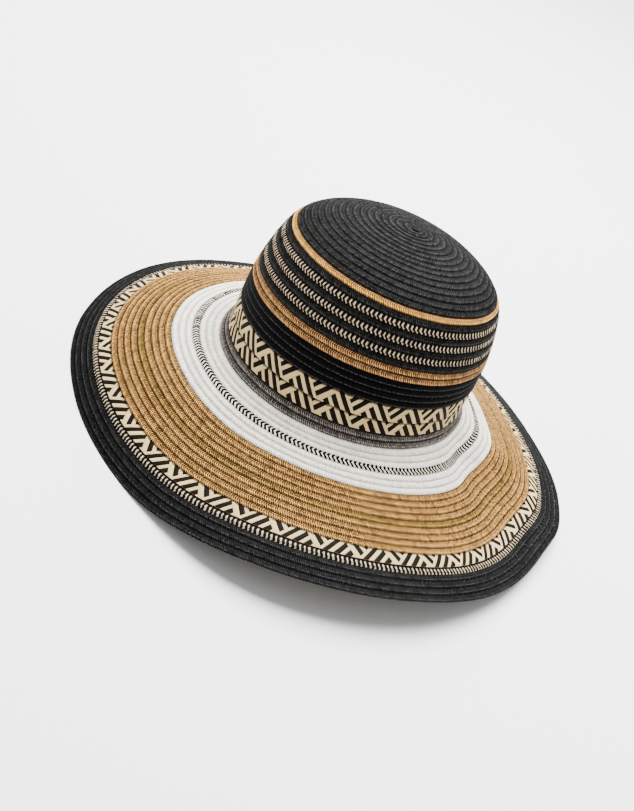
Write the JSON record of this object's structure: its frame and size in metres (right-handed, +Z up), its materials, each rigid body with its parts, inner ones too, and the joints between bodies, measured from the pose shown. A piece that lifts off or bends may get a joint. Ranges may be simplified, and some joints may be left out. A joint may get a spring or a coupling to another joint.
{
  "type": "straw hat",
  "caption": "Wide-brimmed straw sun hat of sewn braid, round dipped crown, drooping wavy brim, black, tan and white bands with herringbone ribbons.",
  "frame": {"origin": "on the resting surface, under the middle of the hat's outline", "axes": "+Z up from the resting surface; +X to the hat's right as seen from the front, which faces -Y"},
  "size_m": [0.3982, 0.404, 0.1765],
  "materials": {
    "black_braid": "charcoal-black paper-straw braid, dull sheen",
    "tan_braid": "tan paper-straw braid, matt",
    "light_tan_braid": "light tan paper-straw braid, matt",
    "olive_braid": "olive-tan paper-straw braid, matt",
    "white_braid": "off-white paper-straw braid, matt",
    "grey_braid": "grey paper-straw braid, matt",
    "stripe_braid": "black braid with cream cross stripes, matt",
    "herringbone_ribbon": "cream ribbon with dark herringbone bars, matt"
  },
  "bodies": {
    "root": {"crown_tip": "black_braid", "crown_tan_row": "light_tan_braid", "crown_black_row_1": "black_braid", "crown_stripe_row_1": "stripe_braid", "crown_black_row_2": "black_braid", "crown_stripe_row_2": "stripe_braid", "crown_black_row_3": "black_braid", "crown_stripe_row_3": "stripe_braid", "crown_black_row_4": "black_braid", "crown_tan_band": "tan_braid", "crown_black_band": "black_braid", "crown_ribbon_row_1": "herringbone_ribbon", "crown_ribbon_row_2": "herringbone_ribbon", "crown_grey_band": "grey_braid", "brim_white_inner": "white_braid", "brim_stripe_row": "stripe_braid", "brim_white_outer": "white_braid", "brim_tan_inner": "tan_braid", "brim_olive_row": "olive_braid", "brim_tan_outer": "tan_braid", "brim_ribbon": "herringbone_ribbon", "brim_whip_row": "stripe_braid", "brim_black_edge": "black_braid"}
  },
  "joints": []
}
